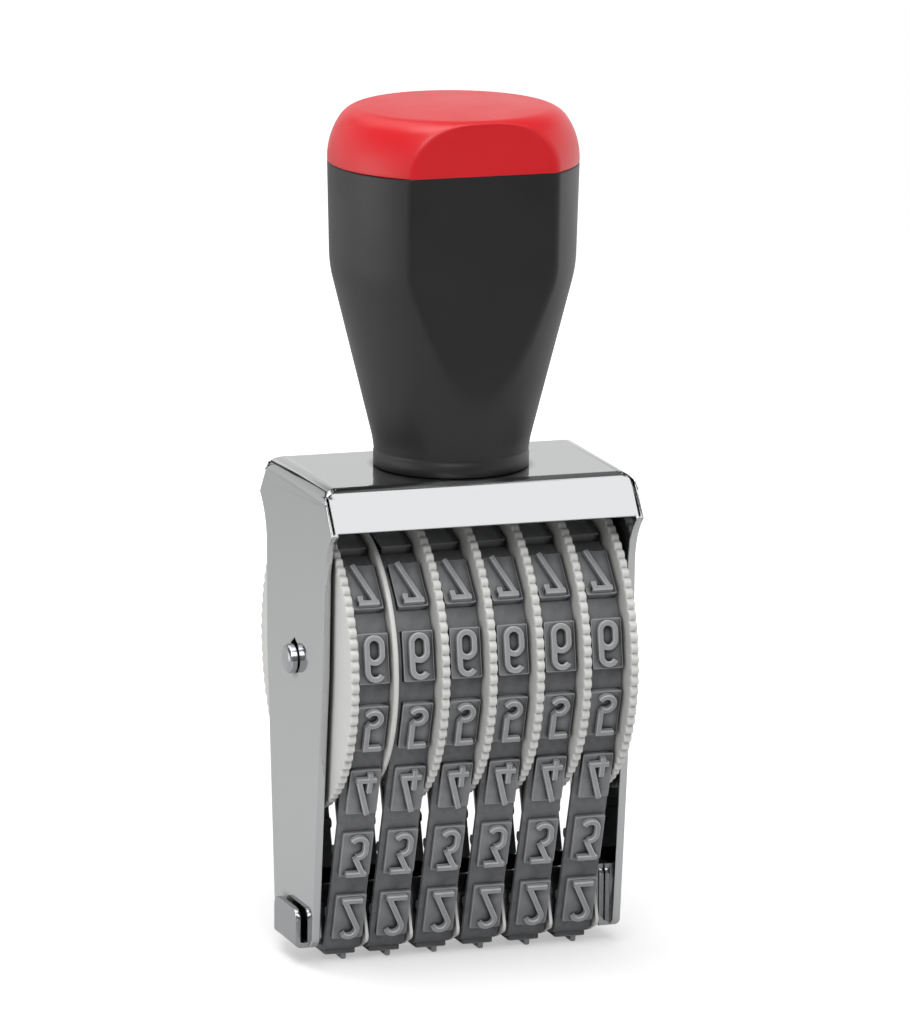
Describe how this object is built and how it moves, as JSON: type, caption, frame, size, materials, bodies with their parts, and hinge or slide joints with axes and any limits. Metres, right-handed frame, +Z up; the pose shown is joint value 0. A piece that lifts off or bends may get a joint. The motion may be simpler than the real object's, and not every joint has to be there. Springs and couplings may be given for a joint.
{
  "type": "numbering machine",
  "caption": "Hand number stamp: a pressed steel frame with thumb wheels that turn endless rubber digit bands, and a moulded handle with a coloured cap.",
  "frame": {"origin": "on the printing plane, below the middle of the frame's width and depth", "axes": "+Z up through the handle, +X along the wheels' axle to the stamp's right, -Y towards the front, where the digits are read"},
  "size_m": [0.051, 0.0446, 0.1268],
  "materials": {
    "chromed_sheet": "polished",
    "bridge_steel": "bright plated",
    "guide_plastic": "smooth",
    "axle_steel": "turned",
    "wheel_plastic": "moulded",
    "band_rubber": "matt moulded",
    "handle_plastic": "satin",
    "cap_plastic": "satin",
    "insert_brass": "machined",
    "screw_steel": "zinc plated"
  },
  "bodies": {
    "stamp": {"frame": "chromed_sheet", "bridge": "bridge_steel", "band_guides": "guide_plastic", "axle": "axle_steel", "spacer_left": "axle_steel", "spacer_right": "axle_steel", "band_1": "band_rubber", "band_2": "band_rubber", "band_3": "band_rubber", "band_4": "band_rubber", "band_5": "band_rubber", "band_6": "band_rubber", "handle_body": "handle_plastic", "handle_cap": "cap_plastic", "handle_insert": "insert_brass", "handle_screw": "screw_steel", "screw_washer": "screw_steel"},
    "thumb_wheel_1": {"wheel_1": "wheel_plastic"},
    "thumb_wheel_2": {"wheel_2": "wheel_plastic"},
    "thumb_wheel_3": {"wheel_3": "wheel_plastic"},
    "thumb_wheel_4": {"wheel_4": "wheel_plastic"},
    "thumb_wheel_5": {"wheel_5": "wheel_plastic"},
    "thumb_wheel_6": {"wheel_6": "wheel_plastic"}
  },
  "joints": [
    {"name": "wheel_1_turn", "type": "hinge", "parent": "stamp", "child": "thumb_wheel_1", "pos_m": [-0.01835, 0, 0.0452], "axis": [1, 0, 0], "continuous": true, "deforming": ["band_1"]},
    {"name": "wheel_2_turn", "type": "hinge", "parent": "stamp", "child": "thumb_wheel_2", "pos_m": [-0.01069, 0, 0.0452], "axis": [1, 0, 0], "continuous": true, "deforming": ["band_2"]},
    {"name": "wheel_3_turn", "type": "hinge", "parent": "stamp", "child": "thumb_wheel_3", "pos_m": [-0.00343, 0, 0.0452], "axis": [1, 0, 0], "continuous": true, "deforming": ["band_3"]},
    {"name": "wheel_4_turn", "type": "hinge", "parent": "stamp", "child": "thumb_wheel_4", "pos_m": [0.00383, 0, 0.0452], "axis": [1, 0, 0], "continuous": true, "deforming": ["band_4"]},
    {"name": "wheel_5_turn", "type": "hinge", "parent": "stamp", "child": "thumb_wheel_5", "pos_m": [0.01109, 0, 0.0452], "axis": [1, 0, 0], "continuous": true, "deforming": ["band_5"]},
    {"name": "wheel_6_turn", "type": "hinge", "parent": "stamp", "child": "thumb_wheel_6", "pos_m": [0.01835, 0, 0.0452], "axis": [1, 0, 0], "continuous": true, "deforming": ["band_6"]}
  ]
}
